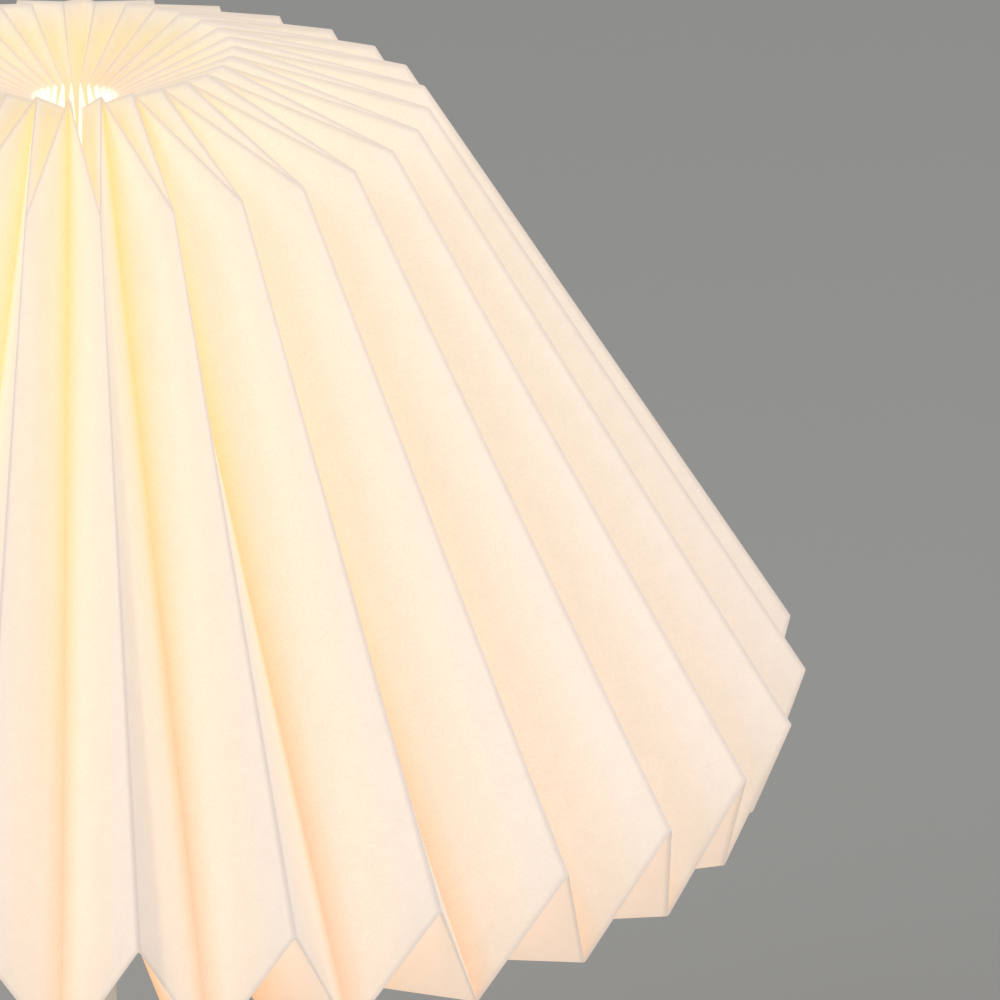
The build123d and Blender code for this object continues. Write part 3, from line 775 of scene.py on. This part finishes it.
# %% [markdown]
# ## Powder coat and moulded plastic
# Powder coat is sprayed dry and baked. The melted grains leave a soft skin like orange peel, with a
# few dust specks in it. Moulded plastic is smoother, carries the fine spark texture of its mould,
# and goes glossier where fingers have rubbed it.

# %% Materials: powder coat, moulded plastic
DUST = "8E8A84"


def powder_coat(name, code, lighter):
    material, tree = new_material(name)
    point = object_point(tree)
    peel, cloud = noise(tree, point, 950.0, 2.0), noise(tree, point, 45.0, 4.0)
    specks = add(tree, "ShaderNodeTexVoronoi", {"Vector": point, "Scale": 420.0})
    speck_mask = smooth_between(tree, specks.outputs["Distance"], 0.02, 0.06, 0.5, 0.0)
    colour = two_tone(tree, cloud, 0.35, 0.65, code, lighter)
    colour = colour_mix(tree, speck_mask, colour, linear(DUST))
    principled(
        tree, Base_Color=colour, Roughness=smooth_between(tree, cloud, 0.3, 0.7, 0.38, 0.5),
        Normal=relief(tree, peel, 0.35, 0.00006), Coat_Weight=0.15, Coat_Roughness=0.2,
    )
    return material


def moulded_plastic(name, code, roughness, spark):
    material, tree = new_material(name)
    point = object_point(tree)
    grain, rub = noise(tree, point, 2600.0, 2.0), noise(tree, point, 70.0, 4.0)
    paleness = smooth_between(tree, rub, 0.3, 0.7, 0.0, 0.06)
    colour = colour_mix(tree, paleness, linear(code), linear("FFFFFF"))
    rough = smooth_between(tree, rub, 0.3, 0.7, roughness - 0.07, roughness + 0.05)
    bumps = relief(tree, grain, spark, 0.00003)
    principled(tree, Base_Color=colour, Roughness=rough, Normal=bumps)
    return material


on_cad("stem_paint", powder_coat("stem_powder_coat", "E8E4DB", "ECE9E1"))
on_cad("carrier", powder_coat("carrier_powder_coat", "EAE9E5", "F0EFEB"))
on_cad("holder_plastic", moulded_plastic("holder_plastic_matt", "EBEAE5", 0.48, 0.3))
on_cad("insert_plastic", moulded_plastic("insert_plastic_matt", "D2CFC6", 0.55, 0.4))
on_cad("inlet_plastic", moulded_plastic("inlet_plastic_matt", "DEDBD3", 0.5, 0.3))
on_cad("bulb_plastic", moulded_plastic("bulb_plastic_gloss", "EFEEEA", 0.24, 0.1))
on_cad("insulator", moulded_plastic("black_insulator", "1C1B1A", 0.22, 0.1))

# %% [markdown]
# ## Bare metals
# Zinc plate is a bluish steel with cloudy passivation. The sleeve and the bulb's cap are drawn from
# thin sheet and rolled into a thread, so fine lines run round them. Brass tarnishes towards brown
# where it isn't rubbed. Threads on the small steel pieces are drawn as relief with a true pitch.

# %% Materials: metals
DRAWN_LINES = (120.0, 120.0, 5200.0)  # scales of the fine lines: long round the axis, close up it
DRAWN_DEPTH = 0.00002
THREAD_PITCH, THREAD_DEPTH = 0.001, 0.0005


def bare_metal(name, code, tarnish, roughness, threaded=False):
    material, tree = new_material(name)
    point = object_point(tree)
    height, depth = noise(tree, vector_math(tree, "MULTIPLY", point, DRAWN_LINES), 1.0), DRAWN_DEPTH
    if threaded:
        thread = screw_height(tree, point, THREAD_PITCH)
        height = math(tree, "MULTIPLY_ADD", height, DRAWN_DEPTH / THREAD_DEPTH, thread)
        depth = THREAD_DEPTH
    patina = noise(tree, point, 190.0, 5.0)
    colour = two_tone(tree, patina, 0.42, 0.72, code, tarnish)
    rough = smooth_between(tree, patina, 0.3, 0.75, roughness, roughness + 0.2)
    bumps = relief(tree, height, 0.8, depth)
    principled(tree, Base_Color=colour, Metallic=1.0, Roughness=rough, Normal=bumps)
    return material


on_cad("sleeve_metal", bare_metal("drawn_aluminium", "DADCDD", "B9BBBC", 0.24))
on_cad("cap_metal", bare_metal("rolled_aluminium", "D6D8D9", "A9ABAC", 0.22))
on_cad("contact_metal", bare_metal("brass", "D9B56C", "9A7438", 0.26))
on_cad("zinc_steel", bare_metal("zinc_plated_steel", "B9BCC2", "93979C", 0.3))
threaded_steel = bare_metal("zinc_plated_thread", "B9BCC2", "93979C", 0.3, threaded=True)
for name in ("holder_nipple", "base_nipple"):
    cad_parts[name].material_slots[0].material = threaded_steel

# %% [markdown]
# ## Casting, felt, card and circuit board
# The weight is cast in sand and dipped in black lacquer, so it keeps the sand's grain. Felt is
# fibres pressed flat at random. The collar is plain card. The board is aluminium with white
# lacquer, and its chips are small yellow squares in a ring.

# %% Materials: casting, felt, card, board
def casting_material():
    material, tree = new_material("lacquered_casting")
    point = object_point(tree)
    sand, lump = noise(tree, point, 1300.0, 3.0), noise(tree, point, 110.0, 5.0)
    height = math(tree, "MULTIPLY_ADD", sand, 0.4, lump)
    colour = two_tone(tree, lump, 0.55, 0.75, "2A2A2A", "4A4038")
    rough = smooth_between(tree, sand, 0.3, 0.7, 0.5, 0.75)
    principled(tree, Base_Color=colour, Roughness=rough, Normal=relief(tree, height, 0.9, 0.0004))
    return material


def felt_material():
    material, tree = new_material("pressed_felt")
    point = object_point(tree)
    bent = add(tree, "ShaderNodeTexNoise", {"Vector": point, "Scale": 300.0}).outputs["Color"]
    bending = vector_math(tree, "MULTIPLY", bent, (0.006, 0.006, 0.002))
    point = vector_math(tree, "ADD", point, bending)
    one_way, other_way = (
        noise(tree, vector_math(tree, "MULTIPLY", point, scales), 1.0)
        for scales in ((3200.0, 260.0, 800.0), (260.0, 3200.0, 800.0))
    )
    fibres = math(tree, "MAXIMUM", one_way, other_way)
    colour = two_tone(tree, fibres, 0.5, 0.75, "2B2B2D", "5A5A5D")
    principled(
        tree, Base_Color=colour, Roughness=0.95, Normal=relief(tree, fibres, 0.9, 0.0003),
        Sheen_Weight=0.35, Sheen_Roughness=0.5, Specular_IOR_Level=0.1,
    )
    return material


def card_material():
    material, tree = new_material("grey_white_card")
    point = object_point(tree)
    pulp, fleck = noise(tree, point, 700.0, 4.0), noise(tree, point, 2400.0, 2.0)
    colour = two_tone(tree, pulp, 0.35, 0.65, "E6DFCF", "EFE9DB")
    colour = colour_mix(tree, smooth_between(tree, fleck, 0.68, 0.74), colour, linear("B7A98F"))
    rough = smooth_between(tree, pulp, 0.3, 0.7, 0.8, 0.92)
    principled(tree, Base_Color=colour, Roughness=rough, Normal=relief(tree, pulp, 0.6, 0.00008))
    return material


CHIPS, CHIP_RING, CHIP_SIZE = 9, 0.010, 0.0028  # as on the CAD board


def board_material():
    material, tree = new_material("circuit_board")
    point = object_point(tree)
    x, y, _ = add(tree, "ShaderNodeSeparateXYZ", {0: point}).outputs
    # Turn counts chips round the ring. CHIPS keeps it positive, and the half puts a chip's middle
    # where the count is whole.
    turn = math(tree, "MULTIPLY", math(tree, "ARCTAN2", y, x), CHIPS / (2 * pi))
    passed = math(tree, "FRACT", math(tree, "ADD", turn, CHIPS + 0.5))
    off_chip = math(tree, "ABSOLUTE", math(tree, "SUBTRACT", passed, 0.5))
    arc = math(tree, "MULTIPLY", off_chip, 2 * pi * CHIP_RING / CHIPS)
    radius = add(tree, "ShaderNodeVectorMath", {
        0: vector_math(tree, "MULTIPLY", point, (1, 1, 0)),
    }, operation="LENGTH").outputs["Value"]
    off_ring = math(tree, "ABSOLUTE", math(tree, "SUBTRACT", radius, CHIP_RING))
    chip = math(tree, "LESS_THAN", math(tree, "MAXIMUM", arc, off_ring), CHIP_SIZE / 2)
    grain = noise(tree, point, 1500.0)
    lacquer = two_tone(tree, grain, 0.35, 0.65, "E6E6E2", "EFEFEC")
    colour = colour_mix(tree, chip, lacquer, linear("F0D04A"))
    rough = smooth_between(tree, grain, 0.3, 0.7, 0.3, 0.42)
    principled(tree, Base_Color=colour, Roughness=rough, Normal=relief(tree, chip, 0.7, 0.0003))
    return material


on_cad("casting", casting_material())
on_cad("felt", felt_material())
on_cad("card", card_material())
on_cad("board", board_material())

# %% [markdown]
# ## The opal globe
# The bulb is a plastic globe filled with white pigment. It hides the chips and spreads their light
# evenly, a little less towards its neck. Its light brightens the inside of the shade, the tucked
# rim and the star-shaped hole at the top, together with the glow painted on the paper there.

# %% Material: the glowing globe
NECK_HEIGHT, LIT_HEIGHT = 0.303, 0.330  # the light grows from one to the other, in metres
NECK_LIGHT, GLOBE_LIGHT = 2.0, 4.2


def globe_material():
    material, tree = new_material("opal_globe")
    point = object_point(tree)
    height = add(tree, "ShaderNodeSeparateXYZ", {0: point}).outputs[2]
    pigment = noise(tree, point, 60.0)
    light = smooth_between(tree, height, NECK_HEIGHT, LIT_HEIGHT, NECK_LIGHT, GLOBE_LIGHT)
    evenness = smooth_between(tree, pigment, 0.3, 0.7, 0.96, 1.04)
    principled(
        tree, Base_Color=linear("F4F1EA"), Emission_Color=linear("FFF1DA"),
        Emission_Strength=math(tree, "MULTIPLY", light, evenness),
        Roughness=smooth_between(tree, pigment, 0.3, 0.7, 0.22, 0.34),
        Normal=relief(tree, noise(tree, point, 900.0), 0.1, 0.00003),
    )
    return material


on_cad("globe", globe_material())

# %% [markdown]
# ## The camera
# The picture was taken with a long lens, slightly above the shade and looking down at it, so close
# that only the right half of the shade fits.

# %% Camera
LENS, SENSOR = 278.07, 36  # in millimetres
SIGHT = 30  # how far the camera sees, in metres
CAMERA_PLACE = Vector((0, -1.4879, 0.8668))
YAW, PITCH, ROLL = -0.0580, 0.3630, 0.0054  # in radians

camera = new_object("camera", bpy.data.cameras.new("camera"))
camera.data.lens = LENS
camera.data.sensor_width = SENSOR
camera.data.clip_end = SIGHT
camera.matrix_world = (
    Matrix.Translation(CAMERA_PLACE)
    @ Matrix.Rotation(YAW, 4, "Z")
    @ Matrix.Rotation(pi / 2 - PITCH, 4, "X")
    @ Matrix.Rotation(ROLL, 4, "Z")
)
bpy.context.scene.camera = camera

# %% [markdown]
# ## The studio
# The backdrop of the picture is one even grey. A wide floor fills the whole view, the world lights
# it from all sides, and two large soft lights give the paper its gentle shading from outside.

# %% Floor, world and lights
FLOOR = 12.0  # from the middle to an edge, in metres
WORLD_LIGHT = 0.42
SHADE_MIDDLE = Vector((0, 0, 0.3))

floor_mesh = bpy.data.meshes.new("floor")
floor_corners = [(x * FLOOR, y * FLOOR, 0) for x, y in ((-1, -1), (1, -1), (1, 1), (-1, 1))]
floor_mesh.from_pydata(floor_corners, [], [range(4)])
floor = new_object("floor", floor_mesh)
floor_material, tree = new_material("floor_grey")
principled(tree, Base_Color=linear("B8B8B5"), Roughness=0.9)
floor_mesh.materials.append(floor_material)

world = bpy.data.worlds.new("studio")
bpy.context.scene.world = world
world.use_nodes = True
background = world.node_tree.nodes["Background"]
background.inputs["Color"].default_value = (1, 1, 1, 1)
background.inputs["Strength"].default_value = WORLD_LIGHT


def soft_box(name, place, size, power):
    """A square soft light that looks at the shade."""
    light = bpy.data.lights.new(name, "AREA")
    light.size, light.energy = size, power
    made = new_object(name, light)
    made.location = place
    made.rotation_euler = (SHADE_MIDDLE - Vector(place)).to_track_quat("-Z", "Y").to_euler()


soft_box("key", (-1.6, -2.0, 2.4), size=1.6, power=30)
soft_box("fill", (2.2, -1.2, 1.6), size=1.6, power=14)

bpy.context.scene.view_settings.view_transform = "Standard"
